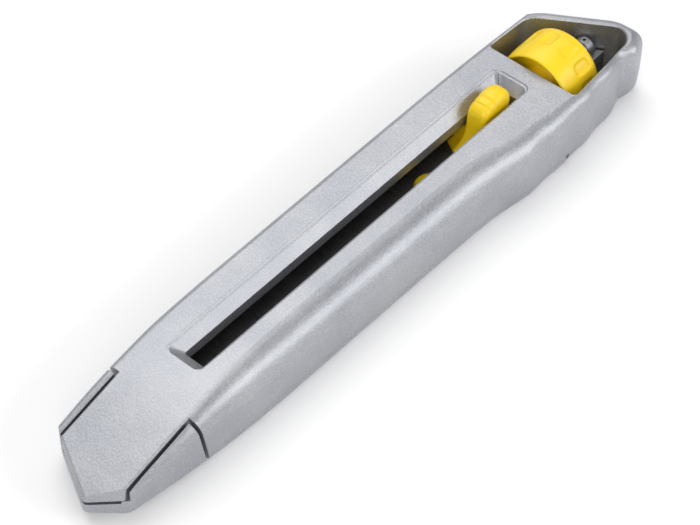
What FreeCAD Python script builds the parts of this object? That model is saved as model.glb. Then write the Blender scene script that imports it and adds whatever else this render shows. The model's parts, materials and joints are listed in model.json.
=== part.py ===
import FreeCAD, Part
import math
import os

from FreeCAD import Vector as V

# Snap-off utility knife with a die-cast body.  Millimetres.
# +X runs along the knife to the blade exit, +Y to the cutting edge side with the finger stop,
# +Z up out of the face that has the slider slot.  z = 0 is the flat back that the knife rests on.

# ---------------------------------------------------------------- driving dimensions
BLADE_WIDTH = 18.0
BLADE_THICK = 0.5
BLADE_PITCH = 11.0
BLADE_SEGMENTS = 10
SNAP_SLOPE = math.tan(math.radians(30.0))
BLADE_TOP_Z = 6.2
BLADE_TIP_X = 75.0
BLADE_HOLE_X = -25.0
BLADE_HOLE_R = 3.6
SCORE_DEPTH = 0.12
SCORE_WIDTH = 0.35

BODY_TOP_Z = 16.8
PARTING_Z = 3.1
PARTING_GAP = 0.12
WALL = 1.9
BOTTOM_RADIUS = 2.5

TOP_DROP_X = 46.0
TOP_DROP_R = 82.0
BOTTOM_RISE_X = 48.0
BOTTOM_RISE_R = 190.0
NOSE_STRAIGHT_X = 70.0

SLOT_REAR_X = -52.6
SLOT_FRONT_X = 50.9
SLOT_HALF = 3.0
SLOT_TOP_Z = 14.2
SLOT_RIM_Z = 11.5
SLOT_RIM_HALF = 6.2
RECESS_REAR_X = -55.4
RECESS_FRONT_X = 54.4
RECESS_LEFT = 5.6
RECESS_RIGHT = 3.9

PLATE_HALF = 9.5
PLATE_GAP = 0.5
RIGHT_GAP = 0.8
PLATE_UNDER_Z = 6.6
WING_REAR_TOP_X = 63.0
WING_REAR_LEAN = 0.16
WING_GAP = 0.9
WING_REAR_SKEW = 2.0
NICK_X = 66.9

CHANNEL_HALF = 9.15
CHANNEL_WALL_HALF = 10.9
RAIL_Z = BLADE_TOP_Z - BLADE_THICK
CARRIER_HALF = 6.2
CARRIER_CHANNEL_HALF = 6.4
CARRIER_CHANNEL_Z = 2.8
CARRIER_CHANNEL_FRONT_X = 68.0
CAVITY_REAR_X = -56.9
CAVITY_ROOF = 2.2

TAIL_X = -60.3
POST_TOP_Z = 9.0

WHEEL_Y = 1.3
WHEEL_Z = 10.1
WHEEL_R = 10.0
WHEEL_FRONT_X = -60.9
WHEEL_REAR_X = -73.3
WHEEL_DISH_R = 9.0
WHEEL_LOBES = 12
SPINDLE_R = 2.0
SPINDLE_FRONT_X = -55.6
SPINDLE_REAR_X = -81.0

RATCHET_PITCH = 5.5
BUTTON_HALF = 2.7
BUTTON_TOP_Z = 19.3
BUTTON_PIN_X = -47.0
BUTTON_PIN_Z = 8.6

# x, left side y, right side y, left top radius, right top radius
STATIONS = [
    (-95.0, -12.0, 14.0, 1.8, 5.6),
    (-80.0, -12.25, 13.95, 1.8, 3.0),
    (-70.0, -12.65, 14.95, 1.9, 2.8),
    (-60.0, -13.05, 15.85, 2.0, 3.4),
    (-50.0, -13.25, 16.15, 2.0, 4.6),
    (-41.0, -13.35, 16.2, 2.0, 5.8),
    (-34.5, -13.35, 15.3, 2.0, 6.6),
    (-27.0, -13.35, 14.6, 2.0, 6.9),
    (-10.0, -13.3, 14.25, 2.0, 7.0),
    (15.0, -13.2, 13.97, 2.0, 7.0),
    (35.0, -13.1, 13.75, 2.0, 6.9),
    (48.0, -12.8, 13.4, 2.0, 6.0),
    (60.0, -12.3, 12.75, 1.8, 4.2),
    (70.0, -12.15, 12.1, 1.6, 2.8),
    (80.0, -11.9, 11.05, 1.4, 2.0),
    (95.0, -11.4, 9.4, 1.0, 1.4),
]
STATION_STEP = 5.0
TAIL_SOFT_X = 76.0
TAIL_SOFTENING = 0.36
EDGE_BREAK = 0.35

# plan outline of the whole knife: x, y, corner radius
OUTLINE = [
    (87.75, 3.6, 1.5),
    (80.7, 11.05, 5.5),
    (66.0, 13.6, 0.0),
    (40.0, 22.0, 0.0),
    (-60.0, 24.0, 0.0),
    (-88.0, 14.5, 7.0),
    (-87.7, 5.2, 8.0),
    (-76.8, -12.7, 12.0),
    (-60.0, -18.0, 0.0),
    (50.0, -18.0, 0.0),
    (66.0, -13.2, 0.0),
    (79.2, -11.8, 2.4),
]
# window round the thumb wheel: x, y, corner radius
TAIL_OPENING = [
    (TAIL_X, -11.6, 1.2),
    (TAIL_X, 13.3, 1.2),
    (-82.4, 11.5, 4.8),
    (-85.9, 8.1, 3.5),
    (-74.1, -11.0, 5.4),
]
FLAT_ALLOWANCE = 0.03
RIM_ROUND = 2.5
FAR = 30.0

# small fixed parts
RATCHET_RIVETS_X = [-44.0, -8.0, 28.0, 62.0]
RATCHET_RIVET_R = 0.6
RATCHET_Z = 4.1
DOWELS = [(-40.0, -10.1), (44.0, 10.1)]
DOWEL_R = 0.9
ROLL_PIN_X = -80.0
ROLL_PIN_R = 0.75
BOSS_R = 2.75
CLIP_X = -77.9
HUB_R = 4.6
INSERT_R = 3.3
SPRING_X = -43.0
SPRING_ROOM_R = 1.7
LOCK_RIVETS_X = [-49.2, -46.2]
LOCK_RIVET_R = 0.5
PRESSURE_RIVET = (29.0, -7.8)
PRESSURE_RIVET_R = 0.6
# side line of the leaf that presses on the blade: x, z
PRESSURE_SPRING = [
    (26.0, 14.35),
    (34.0, 14.35),
    (44.0, 10.2),
    (50.0, 7.6),
    (54.0, 6.55),
    (57.0, 6.4),
    (59.4, 7.1),
]


# ---------------------------------------------------------------- helpers
def top_z(x):
    """Height of the upper face: flat, then an arc, then a straight slope to the tip."""
    reach = max(0.0, min(x, NOSE_STRAIGHT_X) - TOP_DROP_X)
    slope = (NOSE_STRAIGHT_X - TOP_DROP_X) / TOP_DROP_R
    return BODY_TOP_Z - reach ** 2 / (2.0 * TOP_DROP_R) - max(0.0, x - NOSE_STRAIGHT_X) * slope


def bottom_z(x):
    """Height of the back: flat, then an arc, then a straight rise to the tip."""
    reach = max(0.0, min(x, NOSE_STRAIGHT_X) - BOTTOM_RISE_X)
    slope = (NOSE_STRAIGHT_X - BOTTOM_RISE_X) / BOTTOM_RISE_R
    return reach ** 2 / (2.0 * BOTTOM_RISE_R) + max(0.0, x - NOSE_STRAIGHT_X) * slope


def box(x0, x1, y0, y1, z0, z1):
    """Block between two corners."""
    return Part.makeBox(x1 - x0, y1 - y0, z1 - z0, V(x0, y0, z0))


def rod(start, direction, radius, length):
    """Solid cylinder from a start point."""
    return Part.makeCylinder(radius, length, V(*start), V(*direction))


def ring(start, direction, outer, inner, length):
    """Cylinder with a bore."""
    return rod(start, direction, outer, length).cut(rod(start, direction, inner, length))


def fuse(shapes):
    """One clean solid from several that touch or overlap."""
    return shapes[0].multiFuse(shapes[1:]).removeSplitter()


def rounded_wire(points, radii):
    """Closed wire through corner points, each corner replaced by a tangent arc."""
    edges = []
    count = len(points)
    starts = []
    ends = []
    mids = []
    for i in range(count):
        corner = points[i]
        to_prev = (points[i - 1] - corner).normalize()
        to_next = (points[(i + 1) % count] - corner).normalize()
        half = to_prev.getAngle(to_next) / 2.0
        trim = radii[i] / math.tan(half)
        starts.append(corner + to_prev * trim)
        ends.append(corner + to_next * trim)
        bisector = (to_prev + to_next).normalize()
        mids.append(corner + bisector * (radii[i] / math.sin(half) - radii[i]))
    for i in range(count):
        if radii[i] > 0.0:
            edges.append(Part.Arc(starts[i], mids[i], ends[i]).toShape())
        edges.append(Part.LineSegment(ends[i], starts[(i + 1) % count]).toShape())
    return Part.Wire(edges)


def prism(points, sweep):
    """Straight prism from plain corner points."""
    return Part.Face(Part.makePolygon(points + [points[0]])).extrude(sweep)


def plan_prism(corners, z0, z1):
    """Prism from plan corners given as x, y, radius."""
    points = [V(x, y, z0) for x, y, r in corners]
    wire = rounded_wire(points, [r for x, y, r in corners])
    return Part.Face(wire).extrude(V(0, 0, z1 - z0))


def side_prism(corners, y0, y1):
    """Prism along Y from side-view corners given as x, z, radius."""
    points = [V(x, y0, z) for x, z, r in corners]
    wire = rounded_wire(points, [r for x, z, r in corners])
    return Part.Face(wire).extrude(V(0, y1 - y0, 0))


def save(name, shape):
    """Write one sub-part and report its size and volume."""
    shape.exportStep("parts/" + name + ".step")
    print(name, "solids", len(shape.Solids), "valid", shape.isValid(), "volume", round(shape.Volume, 1))


# ---------------------------------------------------------------- outer form shared by both shells
def section(x, left, right, low, high, left_r, right_r, low_r):
    """Rounded section of the body across one station; the right foot softens towards the tail."""
    points = [V(x, left, low), V(x, right, low), V(x, right, high), V(x, left, high)]
    tail_r = low_r + TAIL_SOFTENING * max(0.0, -x - TAIL_SOFT_X)
    return rounded_wire(points, [low_r, tail_r, right_r, left_r])


def station_slope(i, column):
    """Slope of one column of the station table that never overshoots its neighbours."""
    if i in (0, len(STATIONS) - 1):
        return 0.0
    before = (STATIONS[i][column] - STATIONS[i - 1][column]) / (STATIONS[i][0] - STATIONS[i - 1][0])
    after = (STATIONS[i + 1][column] - STATIONS[i][column]) / (STATIONS[i + 1][0] - STATIONS[i][0])
    if before * after <= 0.0:
        return 0.0
    return 2.0 * before * after / (before + after)


def station_value(x, column):
    """Cubic value of one column of the station table at x."""
    i = 0
    while i < len(STATIONS) - 2 and STATIONS[i + 1][0] < x:
        i += 1
    span = STATIONS[i + 1][0] - STATIONS[i][0]
    t = (x - STATIONS[i][0]) / span
    start = STATIONS[i][column]
    end = STATIONS[i + 1][column]
    start_slope = station_slope(i, column) * span
    end_slope = station_slope(i + 1, column) * span
    return (
        start * (1.0 + 2.0 * t) * (1.0 - t) ** 2
        + start_slope * t * (1.0 - t) ** 2
        + end * t * t * (3.0 - 2.0 * t)
        + end_slope * t * t * (t - 1.0)
    )


def body_loft(inset, z_low, roof, first_x, last_x):
    """Body form set in by a wall; z_low None follows the back of the knife."""
    wires = []
    count = int(round((last_x - first_x) / STATION_STEP))
    for i in range(count + 1):
        x = first_x + i * STATION_STEP
        left, right, left_r, right_r = [station_value(x, column) for column in (1, 2, 3, 4)]
        low = bottom_z(x) - FLAT_ALLOWANCE if z_low is None else z_low
        high = top_z(x) - roof
        low_r = min(BOTTOM_RADIUS, 0.2 * (high - low)) if z_low is None else 0.5
        corner_l = max(0.6, left_r - inset)
        corner_r = max(0.6, right_r - inset)
        wires.append(section(x, left + inset, right - inset, low, high, corner_l, corner_r, low_r))
    return Part.makeLoft(wires, True, False)


def envelope():
    """Whole outer form of the closed body, before it is split into shells."""
    loft = body_loft(0.0, None, 0.0, -95.0, 95.0)
    block = plan_prism(OUTLINE, 0.0, BODY_TOP_Z - FLAT_ALLOWANCE)
    rims = []
    for edge in block.Edges:
        bounds = edge.BoundBox
        if bounds.XMax < -59.0 and bounds.ZLength < 0.1:
            rims.append(edge)
    return loft.common(block.makeFillet(RIM_ROUND, rims))


def cavity():
    """Space inside the upper shell over the mechanism."""
    hollow = body_loft(WALL, -4.0, CAVITY_ROOF, -75.0, 75.0)
    return hollow.common(box(CAVITY_REAR_X, 60.6, -30.0, 30.0, -5.0, 30.0))


def wing_block(gap):
    """Space of the nose wings; its rear face leans forward as it rises and as it goes to the left."""
    low_x = WING_REAR_TOP_X - (BODY_TOP_Z + 2.0) * WING_REAR_LEAN + gap
    high_x = WING_REAR_TOP_X + (25.0 - BODY_TOP_Z) * WING_REAR_LEAN + gap
    side = [(low_x, -2.0, 0.0), (95.0, -2.0, 0.0), (95.0, 25.0, 0.0), (high_x, 25.0, 0.0)]
    block = side_prism(side, -30.0, 30.0)
    block.rotate(V(WING_REAR_TOP_X, 13.0, 0.0), V(0, 0, 1), WING_REAR_SKEW)
    return block


# ---------------------------------------------------------------- upper shell
def upper_region():
    """Side view of the space that belongs to the upper shell, behind the nose wings."""
    z_part = PARTING_Z + PARTING_GAP
    corners = [
        (-95.0, -2.0, 0.0),
        (-56.0, -2.0, 0.0),
        (-56.0, z_part, 0.0),
        (43.6, z_part, 1.0),
        (48.6, -2.0, 0.0),
        (75.0, -2.0, 0.0),
        (75.0, 25.0, 0.0),
        (-95.0, 25.0, 0.0),
    ]
    return side_prism(corners, -30.0, 30.0).cut(wing_block(0.0))


def half_space(a, b, c):
    """Large block lying on the plane through three points, on the side of (b - a) x (c - a)."""
    normal = (b - a).cross(c - a).normalize()
    along = (b - a).normalize()
    across = normal.cross(along)
    size = 4.0 * FAR
    corner = a - along * size / 2.0 - across * size / 2.0
    square = [corner, corner + along * size, corner + (along + across) * size, corner + across * size]
    return prism(square, normal * size)


def nose_plate(body):
    """Pentagonal plate that closes the nose over the blade, bevelled on both front edges."""
    region = box(60.2, 95.0, -PLATE_HALF, PLATE_HALF + 0.1, PLATE_UNDER_Z, 30.0)
    plate = body.common(region)
    short_bevel = half_space(V(87.5, 3.85, 6.6), V(82.4, 9.15, 6.6), V(82.6, 8.25, top_z(82.6)))
    bevel_rear = V(79.9, -11.3, top_z(79.9) - 0.8)
    bevel_tip = V(87.6, 3.6, top_z(87.6) - 0.8)
    long_bevel = half_space(bevel_rear, bevel_tip, V(86.9, 3.4, top_z(86.9)))
    plate = plate.cut(short_bevel).cut(long_bevel)
    return plate.cut(side_break(-1.0, PLATE_HALF, -1.0)).cut(side_break(1.0, PLATE_HALF + 0.1, -1.0))


def side_break(side, y, inward):
    """Half space that breaks the long upper edge at |y| of the plate (inward -1) or of a wing (inward 1)."""
    rear_x = 64.0
    front_x = 80.0
    a = V(rear_x, side * y, top_z(rear_x) - EDGE_BREAK)
    b = V(front_x, side * y, top_z(front_x) - EDGE_BREAK)
    c = V(rear_x, side * (y + inward * EDGE_BREAK), top_z(rear_x))
    if side * inward > 0.0:
        return half_space(a, b, c)
    return half_space(b, a, c)


def recess_cutter():
    """Slot with a sloped border sunk into the top face."""
    low = [
        V(SLOT_REAR_X, -SLOT_HALF, SLOT_TOP_Z),
        V(SLOT_FRONT_X, -SLOT_HALF, SLOT_TOP_Z),
        V(SLOT_FRONT_X, SLOT_HALF, SLOT_TOP_Z),
        V(SLOT_REAR_X, SLOT_HALF, SLOT_TOP_Z),
    ]
    grow = 1.35
    rise = (BODY_TOP_Z - SLOT_TOP_Z) * grow
    left = (RECESS_LEFT - SLOT_HALF) * grow
    right = (RECESS_RIGHT - SLOT_HALF) * grow
    rear = (SLOT_REAR_X - RECESS_REAR_X) * grow
    front = (RECESS_FRONT_X - SLOT_FRONT_X) * grow
    high = [
        V(SLOT_REAR_X - rear, -SLOT_HALF - left, SLOT_TOP_Z + rise),
        V(SLOT_FRONT_X + front, -SLOT_HALF - left, SLOT_TOP_Z + rise),
        V(SLOT_FRONT_X + front, SLOT_HALF + right, SLOT_TOP_Z + rise),
        V(SLOT_REAR_X - rear, SLOT_HALF + right, SLOT_TOP_Z + rise),
    ]
    low_wire = rounded_wire(low, [0.7] * 4)
    high_wire = rounded_wire(high, [2.1] * 4)
    taper = Part.makeLoft([low_wire, high_wire], True, True)
    shaft = Part.Face(rounded_wire([p - V(0, 0, 12) for p in low], [0.7] * 4)).extrude(V(0, 0, 12.5))
    return fuse([taper, shaft])


def edge_break(wire, z):
    """Flared ring that breaks the sharp edge round an opening whose outline is the given wire."""
    low = wire.copy()
    low.translate(V(0, 0, z - EDGE_BREAK - wire.BoundBox.ZMin))
    high = low.makeOffset2D(2.0 * EDGE_BREAK)
    high.translate(V(0, 0, 2.0 * EDGE_BREAK))
    return Part.makeLoft([low, high], True, True)


def fork_cutter():
    """U-shaped cut, open downwards, that drops over the spindle."""
    half = SPINDLE_R + 0.35
    slot = box(TAIL_X - 1.0, CAVITY_REAR_X + 1.0, WHEEL_Y - half, WHEEL_Y + half, -5.0, WHEEL_Z)
    top = rod((TAIL_X - 1.0, WHEEL_Y, WHEEL_Z), (1, 0, 0), half, 6.0)
    return fuse([slot, top])


def upper_shell(body, hollow):
    """Cover casting: top, sides, slot rim, nose plate and the ring round the thumb wheel."""
    main = body.common(upper_region())
    rim = box(-56.9, 56.0, -SLOT_RIM_HALF, SLOT_RIM_HALF, SLOT_RIM_Z, BODY_TOP_Z - 1.0)
    rim = rim.common(body)
    shell = main.cut(hollow)
    shell = fuse([shell, rim, nose_plate(body)])
    below_plate = box(58.0, 95.0, -CHANNEL_WALL_HALF - 0.3, CHANNEL_WALL_HALF + 0.3, -5.0, PLATE_UNDER_Z)
    tray_room = box(-57.0, 61.0, -CHANNEL_WALL_HALF - 0.3, CHANNEL_WALL_HALF + 0.3, -5.0, 6.9)
    opening = plan_prism(TAIL_OPENING, -5.0, 30.0)
    tray_tail = box(TAIL_X - 1.0, CAVITY_REAR_X + 1.0, -10.0, 12.3, -5.0, 2.5)
    shell = shell.cut(below_plate).cut(tray_room).cut(opening).cut(tray_tail)
    shell = shell.cut(recess_cutter()).cut(fork_cutter())
    relief_r = SPINDLE_R + 0.45
    relief_top = rod((SPINDLE_REAR_X - 0.5, WHEEL_Y, WHEEL_Z), (1, 0, 0), relief_r, 3.0)
    relief_way = box(
        SPINDLE_REAR_X - 0.5, SPINDLE_REAR_X + 2.5, WHEEL_Y - relief_r, WHEEL_Y + relief_r, -5.0, WHEEL_Z
    )
    shell = shell.cut(relief_top).cut(relief_way)
    window_wire = rounded_wire([V(x, y, 0.0) for x, y, r in TAIL_OPENING], [r for x, y, r in TAIL_OPENING])
    shell = shell.cut(edge_break(window_wire, BODY_TOP_Z - FLAT_ALLOWANCE))
    recess_corners = [
        V(RECESS_REAR_X, -RECESS_LEFT, 0.0),
        V(RECESS_FRONT_X, -RECESS_LEFT, 0.0),
        V(RECESS_FRONT_X, RECESS_RIGHT, 0.0),
        V(RECESS_REAR_X, RECESS_RIGHT, 0.0),
    ]
    shell = shell.cut(edge_break(rounded_wire(recess_corners, [1.6] * 4), BODY_TOP_Z - FLAT_ALLOWANCE))
    shell = shell.cut(rod((PRESSURE_RIVET[0], PRESSURE_RIVET[1], 13.0), (0, 0, 1), PRESSURE_RIVET_R, 2.8))
    return shell.cut(corner_flute())


def corner_flute():
    """Small vertical groove where the two slopes of the recess meet at its rear left corner."""
    low = V(SLOT_REAR_X + 0.2, -SLOT_HALF + 0.2, SLOT_TOP_Z)
    high = V(RECESS_REAR_X + 0.55, -RECESS_LEFT + 0.55, BODY_TOP_Z)
    return Part.makeCylinder(0.35, 5.0, low, high - low)


# ---------------------------------------------------------------- lower shell
def lower_shell(body):
    """Base casting: back, blade channel, nose wings and lip, saddle and rear post for the spindle."""
    lower_side = [
        (-54.9, -2.0, 0.0),
        (48.2, -2.0, 0.0),
        (43.5, PARTING_Z, 1.0),
        (-54.9, PARTING_Z, 0.0),
    ]
    outer_strip = body.common(side_prism(lower_side, -30.0, 30.0))
    spine = box(-54.9, 62.5, -CHANNEL_WALL_HALF, CHANNEL_WALL_HALF, -5.0, BLADE_TOP_Z + 0.4)
    inner_tray = body.common(spine)
    nose = body.common(wing_block(WING_GAP))
    nose = nose.cut(rod((NICK_X, 8.0, bottom_z(NICK_X) + 0.3), (0, 1, 0), 0.8, 8.0))
    left_gap_y = PLATE_HALF + PLATE_GAP
    right_gap_y = PLATE_HALF + 0.1 + RIGHT_GAP
    nose = nose.cut(box(50.0, 95.0, -left_gap_y, right_gap_y, BLADE_TOP_Z + 0.25, 30.0))
    for side, y in ((-1.0, left_gap_y), (1.0, right_gap_y)):
        inner_side = box(60.0, 95.0, min(0.0, side * 11.5), max(0.0, side * 11.5), 7.0, 30.0)
        nose = nose.cut(side_break(side, y, 1.0).common(inner_side))
    shell = fuse([outer_strip, inner_tray, nose, tail_frame()])
    blade_room = box(-54.0, 95.0, -CHANNEL_HALF, CHANNEL_HALF, RAIL_Z, 30.0)
    carrier_room = box(
        -53.6, CARRIER_CHANNEL_FRONT_X, -CARRIER_CHANNEL_HALF, CARRIER_CHANNEL_HALF, CARRIER_CHANNEL_Z, 30.0
    )
    shell = shell.cut(blade_room).cut(carrier_room)
    for x in RATCHET_RIVETS_X:
        shell = shell.cut(rod((x, 6.0, RATCHET_Z), (0, 1, 0), RATCHET_RIVET_R, 2.6))
    shell = shell.cut(ratchet_seat())
    shell = fuse([shell, spindle_saddle()])
    shell = shell.cut(rod((SPINDLE_REAR_X, WHEEL_Y, WHEEL_Z), (1, 0, 0), SPINDLE_R, 5.0))
    shell = shell.cut(rod((ROLL_PIN_X, WHEEL_Y, 4.5), (0, 0, 1), ROLL_PIN_R, 10.0))
    for x, y in DOWELS:
        shell = shell.cut(rod((x, y, 2.0), (0, 0, 1), DOWEL_R, 6.0))
    return shell


def tail_frame():
    """Floor inside the cover's tail ring, with the post and round boss that hold the spindle's end."""
    inner = [
        (-54.5, -9.9, 0.0),
        (-54.5, 12.2, 0.0),
        (TAIL_X - 0.4, 12.2, 0.0),
        (TAIL_X - 0.4, 12.9, 0.6),
        (-82.1, 11.1, 4.6),
        (-85.3, 8.0, 3.3),
        (-73.9, -10.5, 5.2),
        (TAIL_X - 0.4, -11.2, 0.6),
        (TAIL_X - 0.4, -9.9, 0.0),
    ]
    floor = plan_prism(inner, 0.0, 2.0)
    wheel_room = plan_prism(
        [
            (-60.7, -9.4, 1.0),
            (-60.7, 11.95, 1.0),
            (-80.6, 10.5, 1.5),
            (-80.6, 5.6, 1.0),
            (-78.7, 4.8, 0.3),
            (-78.7, 0.0, 1.0),
            (-73.9, -9.4, 1.5),
        ],
        -1.0,
        3.0,
    )
    floor = floor.cut(wheel_room)
    room = plan_prism(inner, 0.0, BODY_TOP_Z)
    post = box(-84.6, -78.8, -2.4, 5.0, 0.5, POST_TOP_Z).common(room)
    boss = rod((-81.2, WHEEL_Y, WHEEL_Z), (1, 0, 0), BOSS_R, 2.5).common(room)
    boss = boss.common(Part.makeSphere(BOSS_R + 0.25, V(-79.6, WHEEL_Y, WHEEL_Z)))
    return fuse([floor, post, boss])


def spindle_saddle():
    """Half-round seat for the front end of the spindle."""
    block = box(-56.6, -54.2, WHEEL_Y - 4.0, WHEEL_Y + 4.0, 1.0, WHEEL_Z - 0.9)
    groove = rod((-60.0, WHEEL_Y, WHEEL_Z), (1, 0, 0), SPINDLE_R + 0.05, 8.0)
    return block.cut(groove)


# ---------------------------------------------------------------- fixed small parts of the base
def ratchet_seat():
    """Pocket in the channel's side wall for the toothed strip."""
    return box(-50.2, 66.2, CARRIER_CHANNEL_HALF - 0.1, CARRIER_CHANNEL_HALF + 1.0, 3.1, 5.1)


def ratchet_strip():
    """Hardened steel strip whose notches hold the slider every half segment."""
    y_face = CARRIER_CHANNEL_HALF
    strip = box(-50.0, 66.0, y_face, y_face + 0.95, 3.15, 5.05)
    notches = []
    count = int(114.0 / RATCHET_PITCH)
    for i in range(count):
        x = -48.0 + i * RATCHET_PITCH
        corners = [V(x, y_face - 0.1, 3.0), V(x + 1.6, y_face - 0.1, 3.0), V(x, y_face + 0.6, 3.0)]
        notches.append(prism(corners, V(0, 0, 2.2)))
    strip = strip.cut(Part.makeCompound(notches))
    for x in RATCHET_RIVETS_X:
        strip = strip.cut(rod((x, 6.0, RATCHET_Z), (0, 1, 0), RATCHET_RIVET_R, 2.6))
    return strip


def ratchet_rivets():
    """Flush rivets that hold the toothed strip."""
    start_y = CARRIER_CHANNEL_HALF + 0.1
    pins = [rod((x, start_y, RATCHET_Z), (0, 1, 0), RATCHET_RIVET_R, 2.0) for x in RATCHET_RIVETS_X]
    return Part.makeCompound(pins)


def locating_dowels():
    """Two pins standing in the base that line up the cover."""
    return Part.makeCompound([rod((x, y, 2.0), (0, 0, 1), DOWEL_R, 7.4) for x, y in DOWELS])


def spindle():
    """Threaded rod that the thumb wheel runs on, grooved for its clip and drilled for its pin."""
    shaft = rod((SPINDLE_REAR_X, WHEEL_Y, WHEEL_Z), (1, 0, 0), SPINDLE_R, SPINDLE_FRONT_X - SPINDLE_REAR_X)
    groove = ring((CLIP_X, WHEEL_Y, WHEEL_Z), (1, 0, 0), SPINDLE_R + 1.0, SPINDLE_R - 0.4, 0.7)
    hole = rod((ROLL_PIN_X, WHEEL_Y, 4.5), (0, 0, 1), ROLL_PIN_R, 12.0)
    return shaft.cut(groove).cut(hole).makeChamfer(0.4, [shaft_end_edge(shaft.cut(groove).cut(hole))])


def shaft_end_edge(shape):
    """Rim of the spindle's front end."""
    for edge in shape.Edges:
        if edge.BoundBox.XLength < 0.001 and abs(edge.CenterOfMass.x - SPINDLE_FRONT_X) < 0.01:
            return edge
    return None


def spindle_clip():
    """Open retaining ring that stops the wheel running off its thread."""
    clip = ring((CLIP_X + 0.05, WHEEL_Y, WHEEL_Z), (1, 0, 0), 3.4, SPINDLE_R - 0.35, 0.6)
    mouth = box(CLIP_X - 1.0, CLIP_X + 2.0, WHEEL_Y - 1.1, WHEEL_Y + 1.1, WHEEL_Z - 5.0, WHEEL_Z)
    return clip.cut(mouth)


def spindle_roll_pin():
    """Slotted spring pin through the rear post and the spindle."""
    pin = ring((ROLL_PIN_X, WHEEL_Y, 4.6), (0, 0, 1), ROLL_PIN_R, 0.4, 8.1)
    return pin.cut(box(ROLL_PIN_X, ROLL_PIN_X + 2.0, WHEEL_Y - 0.12, WHEEL_Y + 0.12, 4.0, 14.0))


# ---------------------------------------------------------------- thumb wheel
def thumb_wheel():
    """Knurled nut: smooth front band with a dished face, scalloped grip behind."""
    axis = V(WHEEL_FRONT_X, WHEEL_Y, WHEEL_Z)
    length = WHEEL_FRONT_X - WHEEL_REAR_X
    profile = [
        (WHEEL_FRONT_X - 0.05, HUB_R),
        (WHEEL_FRONT_X - 3.0, HUB_R),
        (WHEEL_FRONT_X - 3.0, WHEEL_DISH_R - 1.2),
        (WHEEL_FRONT_X - 0.9, WHEEL_DISH_R),
        (WHEEL_FRONT_X, WHEEL_DISH_R + 0.2),
        (WHEEL_FRONT_X - 0.5, WHEEL_R - 0.1),
        (WHEEL_FRONT_X - 3.6, WHEEL_R),
        (WHEEL_REAR_X + 0.9, WHEEL_R),
        (WHEEL_REAR_X, WHEEL_R - 0.9),
        (WHEEL_REAR_X, INSERT_R),
        (WHEEL_FRONT_X - 0.05, INSERT_R),
    ]
    points = [V(x, WHEEL_Y, WHEEL_Z + r) for x, r in profile]
    face = Part.Face(Part.makePolygon(points + [points[0]]))
    wheel = face.revolve(axis, V(1, 0, 0), 360.0)
    scallops = []
    for i in range(WHEEL_LOBES):
        angle = 2.0 * math.pi * i / WHEEL_LOBES
        reach = WHEEL_R + 3.4
        start = (WHEEL_REAR_X - 1.0, WHEEL_Y + reach * math.sin(angle), WHEEL_Z + reach * math.cos(angle))
        scallops.append(rod(start, (1, 0, 0), 4.0, length - 3.4))
    return wheel.cut(Part.makeCompound(scallops))


def wheel_insert():
    """Brass threaded bush moulded into the wheel."""
    length = WHEEL_FRONT_X - WHEEL_REAR_X - 0.2
    bush = ring((WHEEL_REAR_X + 0.1, WHEEL_Y, WHEEL_Z), (1, 0, 0), INSERT_R, SPINDLE_R + 0.05, length)
    return bush


def thrust_washer():
    """Steel washer between the wheel's hub and the cover's fork."""
    return ring((WHEEL_FRONT_X + 0.05, WHEEL_Y, WHEEL_Z), (1, 0, 0), 5.2, SPINDLE_R + 0.06, 0.45)


# ---------------------------------------------------------------- blade and slider
def snap_line(x, y):
    """Point on a line that runs parallel to the snap lines and crosses the centre at x."""
    return V(x + y * SNAP_SLOPE, y, 0.0)


def blade():
    """Snap-off blade with a ground cutting edge, score lines and a drive hole."""
    half = BLADE_WIDTH / 2.0
    rear_x = BLADE_TIP_X - BLADE_PITCH * BLADE_SEGMENTS
    bottom = BLADE_TOP_Z - BLADE_THICK
    ends = [(rear_x, -half), (BLADE_TIP_X, -half), (BLADE_TIP_X, half), (rear_x, half)]
    outline = [snap_line(x, y) + V(0, 0, bottom) for x, y in ends]
    strip = prism(outline, V(0, 0, BLADE_THICK))
    strip = strip.cut(rod((BLADE_HOLE_X, 0, bottom - 1), (0, 0, 1), BLADE_HOLE_R, 3.0))
    for side in (1.0, -1.0):
        face_z = BLADE_TOP_Z if side > 0 else bottom
        edge_z = face_z - side * (BLADE_THICK / 2.0 - 0.03)
        grind = [
            V(rear_x - 9, half - 2.2, face_z),
            V(rear_x - 9, half + 0.5, face_z),
            V(rear_x - 9, half + 0.5, edge_z),
            V(rear_x - 9, half, edge_z),
        ]
        strip = strip.cut(prism(grind, V(150, 0, 0)))
    for i in range(1, 8):
        x = BLADE_TIP_X - BLADE_PITCH * i
        a = snap_line(x - SCORE_WIDTH / 2.0, -half - 1.0)
        b = snap_line(x + SCORE_WIDTH / 2.0, -half - 1.0)
        c = snap_line(x + SCORE_WIDTH / 2.0, half + 1.0)
        d = snap_line(x - SCORE_WIDTH / 2.0, half + 1.0)
        score = [p + V(0, 0, BLADE_TOP_Z - SCORE_DEPTH) for p in (a, b, c, d)]
        strip = strip.cut(prism(score, V(0, 0, 1)))
    return strip


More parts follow.
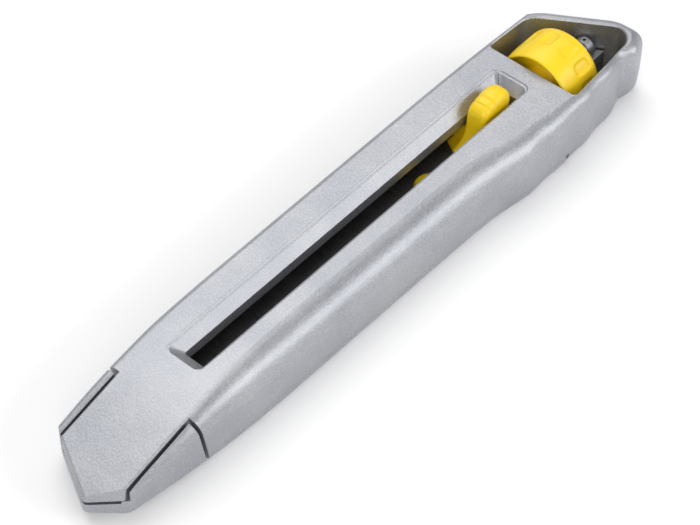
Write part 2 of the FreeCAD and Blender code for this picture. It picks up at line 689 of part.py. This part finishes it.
def blade_carrier():
    """Plastic sledge under the blade's tail with the drive nub and the block that carries the button."""
    plate = box(-51.0, -20.5, -CARRIER_HALF, 5.0, CARRIER_CHANNEL_Z + 0.1, RAIL_Z - 0.1)
    nub = rod((BLADE_HOLE_X, 0, RAIL_Z - 0.2), (0, 0, 1), 3.2, 1.1)
    block = box(-51.0, -41.2, -CARRIER_HALF, 5.0, RAIL_Z - 0.2, 9.9)
    yoke = box(-60.0, -30.0, -BUTTON_HALF - 0.25, BUTTON_HALF + 0.25, 6.6, 20.0)
    spring_room = rod((SPRING_X, 0, 4.6), (0, 0, 1), SPRING_ROOM_R, 6.0)
    pad = box(-51.0, -44.6, 4.0, 5.35, CARRIER_CHANNEL_Z + 0.3, 5.2)
    body = fuse([plate, nub, block, pad]).cut(yoke).cut(spring_room)
    for x in LOCK_RIVETS_X:
        body = body.cut(rod((x, 3.8, 4.15), (0, 1, 0), LOCK_RIVET_R, 4.0))
    body = body.cut(rod((BUTTON_PIN_X, -10.0, BUTTON_PIN_Z), (0, 1, 0), 1.0, 20.0))
    return body


def slider_button():
    """Thumb button: rounded rear, stepped grip and a front that sweeps down to a thin foot."""
    profile = [
        (-50.6, 9.6, 0.5),
        (-51.0, 17.2, 2.2),
        (-48.6, 19.2, 1.2),
        (-44.4, 19.4, 0.8),
        (-43.6, 18.9, 0.2),
        (-42.9, 18.9, 0.5),
        (-42.1, 18.0, 0.2),
        (-41.5, 17.9, 0.5),
        (-40.6, 16.6, 1.5),
        (-40.0, 11.6, 3.5),
        (-35.6, 7.9, 0.15),
        (-36.0, 7.45, 0.1),
        (-41.6, 7.5, 0.3),
        (-44.8, 7.3, 0.3),
        (-47.0, 6.95, 1.0),
        (-48.9, 7.2, 0.8),
    ]
    button = side_prism(profile, -BUTTON_HALF, BUTTON_HALF)
    button = button.cut(rod((BUTTON_PIN_X, -10.0, BUTTON_PIN_Z), (0, 1, 0), 1.05, 20.0))
    return button.cut(rod((SPRING_X, 0, 6.0), (0, 0, 1), SPRING_ROOM_R, 3.2))


def button_pin():
    """Steel pin that the button rocks on."""
    return rod((BUTTON_PIN_X, -CARRIER_HALF + 0.3, BUTTON_PIN_Z), (0, 1, 0), 1.0, CARRIER_HALF + 4.6 - 0.3)


def return_spring():
    """Coil spring that lifts the front of the button."""
    helix = Part.makeHelix(0.9, 4.0, 1.3)
    helix.translate(V(SPRING_X, 0, 4.87))
    profile = Part.Wire([Part.makeCircle(0.22, V(SPRING_X + 1.3, 0, 4.87), V(0, 1, 0))])
    coil = Part.Wire(helix.Edges).makePipeShell([profile], True, True)
    return coil


def lock_spring():
    """Flat spring on the carrier's side whose tooth drops into the notches of the strip."""
    leaf = box(-50.6, -30.0, 5.35, 5.7, 3.3, 5.0)
    tooth_points = [V(-31.4, 5.6, 3.5), V(-30.0, 5.6, 3.5), V(-31.35, 6.85, 3.5)]
    leaf = fuse([leaf, prism(tooth_points, V(0, 0, 1.3))])
    for x in LOCK_RIVETS_X:
        leaf = leaf.cut(rod((x, 3.0, 4.15), (0, 1, 0), LOCK_RIVET_R, 4.0))
    return leaf


def lock_rivets():
    """Two rivets that fix the flat spring to the carrier."""
    return Part.makeCompound([rod((x, 3.8, 4.15), (0, 1, 0), LOCK_RIVET_R, 2.1) for x in LOCK_RIVETS_X])


# ---------------------------------------------------------------- blade pressure spring in the cover
def pressure_spring():
    """Bowed leaf under the cover that keeps the blade from rattling in the nose."""
    y0 = PRESSURE_RIVET[1] - 1.1
    upper = [V(x, y0, z + 0.15) for x, z in PRESSURE_SPRING]
    lower = [V(x, y0, z - 0.15) for x, z in reversed(PRESSURE_SPRING)]
    leaf = prism(upper + lower, V(0, 2.2, 0))
    return leaf.cut(rod((PRESSURE_RIVET[0], PRESSURE_RIVET[1], 13.0), (0, 0, 1), PRESSURE_RIVET_R, 3.0))


def pressure_spring_rivet():
    """Rivet that fixes the leaf to the cover's roof."""
    head = rod((PRESSURE_RIVET[0], PRESSURE_RIVET[1], 13.7), (0, 0, 1), 1.05, 0.5)
    shank = rod((PRESSURE_RIVET[0], PRESSURE_RIVET[1], 13.9), (0, 0, 1), PRESSURE_RIVET_R, 1.9)
    return fuse([head, shank])


def build():
    """Make every sub-part and write it."""
    os.makedirs("parts", exist_ok=True)
    body = envelope()
    hollow = cavity()
    print("envelope", body.isValid(), round(body.Volume), "cavity", hollow.isValid(), round(hollow.Volume))
    save("upper_shell", upper_shell(body, hollow))
    save("lower_shell", lower_shell(body))
    save("ratchet_strip", ratchet_strip())
    save("ratchet_rivets", ratchet_rivets())
    save("locating_dowels", locating_dowels())
    save("spindle", spindle())
    save("spindle_clip", spindle_clip())
    save("spindle_roll_pin", spindle_roll_pin())
    save("thumb_wheel", thumb_wheel())
    save("wheel_insert", wheel_insert())
    save("thrust_washer", thrust_washer())
    save("blade", blade())
    save("blade_carrier", blade_carrier())
    save("slider_button", slider_button())
    save("button_pin", button_pin())
    save("return_spring", return_spring())
    save("lock_spring", lock_spring())
    save("lock_rivets", lock_rivets())
    save("pressure_spring", pressure_spring())
    save("pressure_spring_rivet", pressure_spring_rivet())


build()
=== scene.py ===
import json
import math

import bmesh
import bpy
from mathutils import Matrix, Vector


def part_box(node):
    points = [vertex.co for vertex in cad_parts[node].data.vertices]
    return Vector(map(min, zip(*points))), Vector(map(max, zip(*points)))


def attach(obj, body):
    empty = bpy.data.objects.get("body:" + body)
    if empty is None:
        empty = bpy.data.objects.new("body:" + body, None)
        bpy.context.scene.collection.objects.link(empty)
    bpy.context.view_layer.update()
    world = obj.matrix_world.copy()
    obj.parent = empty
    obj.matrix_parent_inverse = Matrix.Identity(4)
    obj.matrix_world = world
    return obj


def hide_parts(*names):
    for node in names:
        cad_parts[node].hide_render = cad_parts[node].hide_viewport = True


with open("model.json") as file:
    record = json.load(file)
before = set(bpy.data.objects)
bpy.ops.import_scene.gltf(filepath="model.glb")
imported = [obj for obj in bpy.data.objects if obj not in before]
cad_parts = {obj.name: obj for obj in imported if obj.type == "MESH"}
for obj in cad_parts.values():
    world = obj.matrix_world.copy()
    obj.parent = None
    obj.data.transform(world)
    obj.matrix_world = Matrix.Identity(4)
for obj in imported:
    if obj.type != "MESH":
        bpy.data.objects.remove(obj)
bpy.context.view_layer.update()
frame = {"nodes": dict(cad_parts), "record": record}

MM = 0.001
NODES = frame["nodes"]


# ---------------------------------------------------------------- node helpers
def new_material(name):
    """Empty node material with a Principled shader wired to the output."""
    mat = bpy.data.materials.new(name)
    mat.use_nodes = True
    tree = mat.node_tree
    shader = tree.nodes["Principled BSDF"]
    return mat, tree, shader


def add(tree, kind, **settings):
    """Add a node and set its properties and input values."""
    node = tree.nodes.new(kind)
    for key, value in settings.items():
        if key in node.inputs:
            node.inputs[key].default_value = value
        else:
            setattr(node, key, value)
    return node


def noise(tree, scale, detail=2.0, roughness=0.5, stretch=None):
    """Noise in object space, in cycles per metre, optionally stretched along an axis."""
    coords = add(tree, "ShaderNodeTexCoord")
    source = coords.outputs["Object"]
    if stretch:
        mapping = add(tree, "ShaderNodeMapping")
        mapping.inputs["Scale"].default_value = stretch
        tree.links.new(source, mapping.inputs["Vector"])
        source = mapping.outputs["Vector"]
    node = add(tree, "ShaderNodeTexNoise", Scale=scale, Detail=detail, Roughness=roughness)
    tree.links.new(source, node.inputs["Vector"])
    return node.outputs["Fac"]


def ramp(tree, source, stops):
    """Colour ramp over a value: stops are (position, colour)."""
    node = add(tree, "ShaderNodeValToRGB")
    elements = node.color_ramp.elements
    elements[0].position, elements[0].color = stops[0][0], (*stops[0][1], 1.0)
    elements[1].position, elements[1].color = stops[-1][0], (*stops[-1][1], 1.0)
    for position, colour in stops[1:-1]:
        element = elements.new(position)
        element.color = (*colour, 1.0)
    tree.links.new(source, node.inputs["Fac"])
    return node.outputs["Color"]


def remap(tree, source, low, high, out_low, out_high):
    """Clamped linear remap of a value."""
    node = add(tree, "ShaderNodeMapRange")
    node.inputs["From Min"].default_value = low
    node.inputs["From Max"].default_value = high
    node.inputs["To Min"].default_value = out_low
    node.inputs["To Max"].default_value = out_high
    tree.links.new(source, node.inputs["Value"])
    return node.outputs["Result"]


def bump(tree, shader, heights, edge=None):
    """Chain of bumps: (height output, distance in metres); edge rounds sharp corners for the light."""
    normal = None
    if edge:
        bevel = add(tree, "ShaderNodeBevel", samples=6)
        bevel.inputs["Radius"].default_value = edge
        normal = bevel.outputs["Normal"]
    for height, distance in heights:
        node = add(tree, "ShaderNodeBump")
        node.inputs["Distance"].default_value = distance
        tree.links.new(height, node.inputs["Height"])
        if normal:
            tree.links.new(normal, node.inputs["Normal"])
        normal = node.outputs["Normal"]
    tree.links.new(normal, shader.inputs["Normal"])


# ---------------------------------------------------------------- materials
# ramp stops: (value, colour)
ZINC_CLOUD = [(0.3, (0.40, 0.41, 0.445)), (0.7, (0.47, 0.48, 0.505))]
ZINC_SPECKS = [(0.42, (0.86, 0.86, 0.86)), (0.55, (1.0, 1.0, 1.0)), (0.68, (1.16, 1.16, 1.15))]
YELLOW_TONE = [(0.3, (0.92, 0.62, 0.006)), (0.7, (0.97, 0.68, 0.010))]
# radii in metres over which the light treats sharp edges as rounded
ZINC_EDGE = 0.00022
YELLOW_EDGE = 0.0003
METAL_EDGE = 0.0001
# depth in metres of the machining lines
METAL_LINE_DEPTH = 0.00001


def casting():
    """Blasted die-cast zinc alloy: fine grain, faint cloudiness, small bright specks."""
    mat, tree, shader = new_material("cast_zinc")
    shader.inputs["Metallic"].default_value = 0.9
    cloud = noise(tree, 70.0, 3.0)
    grain = noise(tree, 3200.0, 2.0, 0.6)
    colour = ramp(tree, cloud, ZINC_CLOUD)
    specks = ramp(tree, grain, ZINC_SPECKS)
    mix = add(tree, "ShaderNodeMix", data_type="RGBA", blend_type="MULTIPLY")
    mix.inputs["Factor"].default_value = 1.0
    tree.links.new(colour, mix.inputs["A"])
    tree.links.new(specks, mix.inputs["B"])
    tree.links.new(mix.outputs["Result"], shader.inputs["Base Color"])
    tree.links.new(remap(tree, grain, 0.3, 0.7, 0.40, 0.52), shader.inputs["Roughness"])
    pits = noise(tree, 1500.0, 3.0, 0.6)
    waves = noise(tree, 160.0, 2.0)
    bump(tree, shader, [(waves, 0.00012), (pits, 0.00006), (grain, 0.00003)], edge=ZINC_EDGE)
    return mat


def yellow_plastic():
    """Semi-gloss moulded plastic with a faint orange-peel surface."""
    mat, tree, shader = new_material("yellow_plastic")
    tone = noise(tree, 90.0, 2.0)
    colour = ramp(tree, tone, YELLOW_TONE)
    tree.links.new(colour, shader.inputs["Base Color"])
    shader.inputs["Subsurface Weight"].default_value = 0.08
    shader.inputs["Subsurface Radius"].default_value = (0.001, 0.0006, 0.0001)
    peel = noise(tree, 900.0, 2.0)
    tree.links.new(remap(tree, peel, 0.3, 0.7, 0.30, 0.40), shader.inputs["Roughness"])
    bump(tree, shader, [(peel, 0.00002)], edge=YELLOW_EDGE)
    return mat


def brushed_metal(name, dark, light, roughness, stretch):
    """Metal with fine parallel machining lines."""
    mat, tree, shader = new_material(name)
    shader.inputs["Metallic"].default_value = 1.0
    lines = noise(tree, 500.0, 4.0, 0.6, stretch)
    tree.links.new(ramp(tree, lines, [(0.3, dark), (0.7, light)]), shader.inputs["Base Color"])
    shine = remap(tree, lines, 0.3, 0.7, roughness - 0.06, roughness + 0.08)
    tree.links.new(shine, shader.inputs["Roughness"])
    bump(tree, shader, [(lines, METAL_LINE_DEPTH)], edge=METAL_EDGE)
    return mat


CAST = casting()
YELLOW = yellow_plastic()
BLADE = brushed_metal("blade_steel", (0.20, 0.195, 0.20), (0.30, 0.29, 0.30), 0.45, (6.0, 0.6, 1.0))
STEEL = brushed_metal("turned_steel", (0.52, 0.53, 0.54), (0.68, 0.69, 0.70), 0.25, (8.0, 1.0, 1.0))
SPRING = brushed_metal("spring_steel", (0.30, 0.31, 0.33), (0.45, 0.46, 0.48), 0.32, (0.4, 6.0, 6.0))
BRASS = brushed_metal("turned_brass", (0.62, 0.42, 0.14), (0.76, 0.55, 0.22), 0.28, (8.0, 1.0, 1.0))

BY_SLOT = {
    "shell": CAST,
    "yellow": YELLOW,
    "blade_steel": BLADE,
    "steel": STEEL,
    "spring_steel": SPRING,
    "brass": BRASS,
}
for part in frame["record"]["subparts"]:
    piece = NODES[part["node"]]
    piece.data.materials.clear()
    piece.data.materials.append(BY_SLOT[part["material_slot"]])


# ---------------------------------------------------------------- mesh helpers
# points closer than this, in metres, are welded into one
WELD = 0.000002


def smoothstep(low, high, value):
    """Smooth ramp from 0 at low to 1 at high."""
    t = max(0.0, min(1.0, (value - low) / (high - low)))
    return t * t * (3.0 - 2.0 * t)


def spline(points, steps):
    """Catmull-Rom curve through given points of any dimension, held at its two ends."""
    result = []
    last = len(points) - 1
    for i in range(last):
        before, start, end, after = [Vector(points[max(0, min(last, i + k))]) for k in (-1, 0, 1, 2)]
        for k in range(steps):
            t = k / steps
            slope = (end - before) * t
            bend = (2.0 * before - 5.0 * start + 4.0 * end - after) * t ** 2
            turn = (3.0 * start - before - 3.0 * end + after) * t ** 3
            result.append(0.5 * (2.0 * start + slope + bend + turn))
    result.append(Vector(points[last]))
    return result


def mesh_piece(name, verts, faces, material, node, body, smooth_angle=50.0):
    """Mesh that stands for a CAD node and rides on its body."""
    mesh = bpy.data.meshes.new(name)
    mesh.from_pydata([Vector(v) * MM for v in verts], [], faces)
    work = bmesh.new()
    work.from_mesh(mesh)
    bmesh.ops.remove_doubles(work, verts=work.verts, dist=WELD)
    bmesh.ops.recalc_face_normals(work, faces=work.faces)
    for face in work.faces:
        face.smooth = True
    for edge in work.edges:
        edge.smooth = len(edge.link_faces) == 2 and edge.calc_face_angle(0.0) < math.radians(smooth_angle)
    work.to_mesh(mesh)
    work.free()
    mesh.materials.append(material)
    piece = bpy.data.objects.new(name, mesh)
    bpy.context.collection.objects.link(piece)
    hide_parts(node)
    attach(piece, body)
    return piece


# ---------------------------------------------------------------- thumb wheel
WHEEL_POCKETS = 12
WHEEL_SEGMENTS = 26 * WHEEL_POCKETS
POCKET_PHASE = math.radians(18.0)
POCKET_DEPTH = 0.5
# middle of a pocket behind the front face and half its length, in mm; half its width, in wheel pitches
POCKET_MIDDLE = 7.85
POCKET_HALF_LENGTH = 2.75
POCKET_HALF_WIDTH = 0.33
# a higher power makes the pocket more square; its floor is flat out to this share of its reach
POCKET_POWER = 3.5
POCKET_FLOOR = 0.62
# the pockets touch only the part of the profile outside this share of the radius
POCKET_RIM = 0.9
# mm behind the front face, share of the radius: bore, hub, dished face, lip, sloped band
WHEEL_FRONT = [
    (0.05, 0.335), (0.05, 0.43), (0.2, 0.455), (2.6, 0.475), (3.0, 0.51), (3.0, 0.70), (2.7, 0.755),
    (1.4, 0.83), (0.35, 0.885), (0.06, 0.905), (0.0, 0.925), (0.1, 0.947), (0.4, 0.962),
    (1.4, 0.978), (2.6, 0.990), (3.8, 0.997), (4.6, 1.0),
]
WHEEL_BAND_START = WHEEL_FRONT[-1][0]
WHEEL_BAND_END = 10.4
WHEEL_BAND_STEP = 0.2
WHEEL_REAR = [
    (10.9, 0.997), (11.4, 0.985), (11.8, 0.962), (12.1, 0.93), (12.3, 0.885), (12.4, 0.83), (12.4, 0.335),
]


def pocket(depth, angle):
    """How much of the pocket's depth applies at a place on the wheel's rim, 0 to 1."""
    pitch = 2.0 * math.pi / WHEEL_POCKETS
    across = ((angle - POCKET_PHASE) / pitch + 0.5) % 1.0 - 0.5
    along = (depth - POCKET_MIDDLE) / POCKET_HALF_LENGTH
    sum_of_powers = abs(across / POCKET_HALF_WIDTH) ** POCKET_POWER + abs(along) ** POCKET_POWER
    reach = sum_of_powers ** (1.0 / POCKET_POWER)
    return 1.0 - smoothstep(POCKET_FLOOR, 1.0, reach)


def thumb_wheel():
    """Moulded wheel: dished front, sloped front band, shallow pockets between thick ribs."""
    low, high = [Vector(c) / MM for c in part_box("thumb_wheel")]
    radius = (high.z - low.z) / 2.0
    centre = (low + high) / 2.0
    profile = list(WHEEL_FRONT)
    steps = int(round((WHEEL_BAND_END - WHEEL_BAND_START) / WHEEL_BAND_STEP))
    profile += [(WHEEL_BAND_START + WHEEL_BAND_STEP * (i + 1), 1.0) for i in range(steps)]
    profile += WHEEL_REAR
    verts = []
    for depth, share in profile:
        for k in range(WHEEL_SEGMENTS):
            angle = 2.0 * math.pi * k / WHEEL_SEGMENTS
            r = share * radius
            if share > POCKET_RIM:
                r -= POCKET_DEPTH * pocket(depth, angle)
            verts.append((high.x - depth, centre.y + r * math.sin(angle), centre.z + r * math.cos(angle)))
    faces = []
    rows = len(profile)
    for i in range(rows):
        for k in range(WHEEL_SEGMENTS):
            a = i * WHEEL_SEGMENTS + k
            b = i * WHEEL_SEGMENTS + (k + 1) % WHEEL_SEGMENTS
            c = (i + 1) % rows * WHEEL_SEGMENTS + (k + 1) % WHEEL_SEGMENTS
            d = (i + 1) % rows * WHEEL_SEGMENTS + k
            faces.append((a, b, c, d))
    mesh_piece("moulded_wheel", verts, faces, YELLOW, "thumb_wheel", "wheel")


# ---------------------------------------------------------------- slider button
# side line of the button in mm, closed by repeating the first point: x, z, edge rounding, half width
BUTTON_LINE = [
    (-50.5, 9.6, 0.9, 2.7), (-50.8, 12.0, 1.9, 2.7), (-51.0, 15.4, 2.0, 2.7), (-50.9, 16.9, 2.0, 2.7),
    (-50.3, 18.1, 1.9, 2.7), (-49.3, 18.85, 1.9, 2.7), (-48.0, 19.2, 1.9, 2.7), (-46.6, 19.3, 1.9, 2.7),
    (-45.3, 19.25, 1.9, 2.7), (-44.9, 19.15, 1.9, 2.7), (-44.6, 18.9, 1.9, 2.7), (-44.2, 18.8, 1.9, 2.7),
    (-43.4, 18.65, 1.9, 2.7), (-43.0, 18.5, 1.9, 2.7), (-42.7, 18.2, 1.9, 2.7), (-42.3, 18.05, 1.8, 2.7),
    (-41.6, 17.6, 1.7, 2.7), (-41.0, 16.9, 1.5, 2.68), (-40.6, 15.8, 1.3, 2.62), (-40.4, 14.0, 1.0, 2.52),
    (-40.2, 12.2, 0.8, 2.4), (-39.7, 10.5, 0.6, 2.28), (-38.8, 9.2, 0.45, 2.18), (-37.6, 8.35, 0.3, 2.1),
    (-36.3, 7.98, 0.2, 2.05), (-35.65, 7.85, 0.15, 2.0), (-35.6, 7.65, 0.1, 2.0), (-35.9, 7.5, 0.1, 2.0),
    (-39.0, 7.5, 0.15, 2.2), (-42.0, 7.45, 0.2, 2.6), (-45.0, 7.3, 0.2, 2.7), (-47.0, 6.95, 0.2, 2.7),
    (-48.9, 7.25, 0.3, 2.7), (-50.1, 8.3, 0.5, 2.7), (-50.5, 9.6, 0.9, 2.7),
]
BUTTON_STEPS = 4
BUTTON_ACROSS = 8
BUTTON_SMOOTHING = 7


def slider_button():
    """Thumb button: domed top with small grip steps, front sweeping down to a narrow foot."""
    line = spline(BUTTON_LINE, BUTTON_STEPS)[:-1]
    count = len(line)
    verts = []
    for i, point in enumerate(line):
        ahead = line[(i + BUTTON_SMOOTHING) % count]
        behind = line[i - BUTTON_SMOOTHING]
        run = Vector((ahead[0] - behind[0], ahead[1] - behind[1])).normalized()
        inward = Vector((run.y, -run.x))
        edge_r, half = point[2], point[3]
        flat = half - edge_r
        for side in (-1.0, 1.0):
            quarter = []
            for k in range(BUTTON_ACROSS + 1):
                turn = 0.5 * math.pi * k / BUTTON_ACROSS
                drop = edge_r * (1.0 - math.cos(turn))
                quarter.append((point[0] + inward.x * drop, side * (flat + edge_r * math.sin(turn)),
                                point[1] + inward.y * drop))
            if side < 0.0:
                quarter.reverse()
            verts += quarter
    row = 2 * (BUTTON_ACROSS + 1)
    faces = []
    for i in range(count):
        for k in range(row - 1):
            a = i * row + k
            b = (i + 1) % count * row + k
            faces.append((a, b, b + 1, a + 1))
    faces.append(tuple(i * row for i in range(count)))
    faces.append(tuple(i * row + row - 1 for i in reversed(range(count))))
    mesh_piece("moulded_button", verts, faces, YELLOW, "slider_button", "button")


thumb_wheel()
slider_button()


# ---------------------------------------------------------------- stage, light and camera
FLOOR_HALF = 3.0
PAPER_TONE = [(0.3, (0.96, 0.96, 0.96)), (0.7, (0.97, 0.97, 0.97))]
SENSOR_WIDTH = 36.0
LENS = 120.41
CAMERA_PLACE = (0.26123, 0.22051, 0.38658)
CAMERA_AIM = (0.005435, 0.002786, 0.008)
CAMERA_ROLL = 0.493
# name: (place, size, power), all aimed at the middle of the knife
LIGHTS = {
    "key": ((-0.32, -0.62, 1.20), (1.3, 1.3), 10.0),
    "right": ((-0.32, 0.60, 0.38), (0.6, 0.25), 2.0),
    "front": ((0.70, 0.35, 0.60), (0.7, 0.5), 3.2),
}
WORLD_STRENGTH = 0.46


def floor():
    """Pale seamless floor at the level of the knife's back."""
    mesh = bpy.data.meshes.new("floor")
    corners = [(-1, -1), (1, -1), (1, 1), (-1, 1)]
    mesh.from_pydata([(x * FLOOR_HALF, y * FLOOR_HALF, 0) for x, y in corners], [], [(0, 1, 2, 3)])
    sheet = bpy.data.objects.new("floor", mesh)
    bpy.context.collection.objects.link(sheet)
    mat, tree, shader = new_material("paper")
    shader.inputs["Roughness"].default_value = 0.9
    tone = noise(tree, 3.0, 2.0)
    tree.links.new(ramp(tree, tone, PAPER_TONE), shader.inputs["Base Color"])
    mesh.materials.append(mat)


def area_light(name, location, size, power):
    """Soft rectangular light aimed at the middle of the knife."""
    data = bpy.data.lights.new(name, "AREA")
    data.shape = "RECTANGLE"
    data.size, data.size_y = size
    data.energy = power
    light = bpy.data.objects.new(name, data)
    light.location = location
    light.rotation_euler = (-Vector(location)).to_track_quat("-Z", "Y").to_euler()
    bpy.context.collection.objects.link(light)


def camera():
    """Camera above the nose, looking down along the knife towards the tail."""
    data = bpy.data.cameras.new("camera")
    data.sensor_width = SENSOR_WIDTH
    data.lens = LENS
    data.clip_start = 0.01
    eye = bpy.data.objects.new("camera", data)
    location = Vector(CAMERA_PLACE)
    aim = Vector(CAMERA_AIM)
    look = (aim - location).to_track_quat("-Z", "Y").to_matrix()
    roll = Matrix.Rotation(math.radians(CAMERA_ROLL), 3, "Z")
    eye.matrix_world = Matrix.Translation(location) @ (look @ roll).to_4x4()
    bpy.context.collection.objects.link(eye)
    bpy.context.scene.camera = eye


floor()
camera()
for name, (place, size, power) in LIGHTS.items():
    area_light(name, place, size, power)

world = bpy.data.worlds.new("studio")
world.use_nodes = True
world.node_tree.nodes["Background"].inputs["Color"].default_value = (1.0, 1.0, 1.0, 1.0)
world.node_tree.nodes["Background"].inputs["Strength"].default_value = WORLD_STRENGTH
bpy.context.scene.world = world
bpy.context.scene.view_settings.view_transform = "Standard"
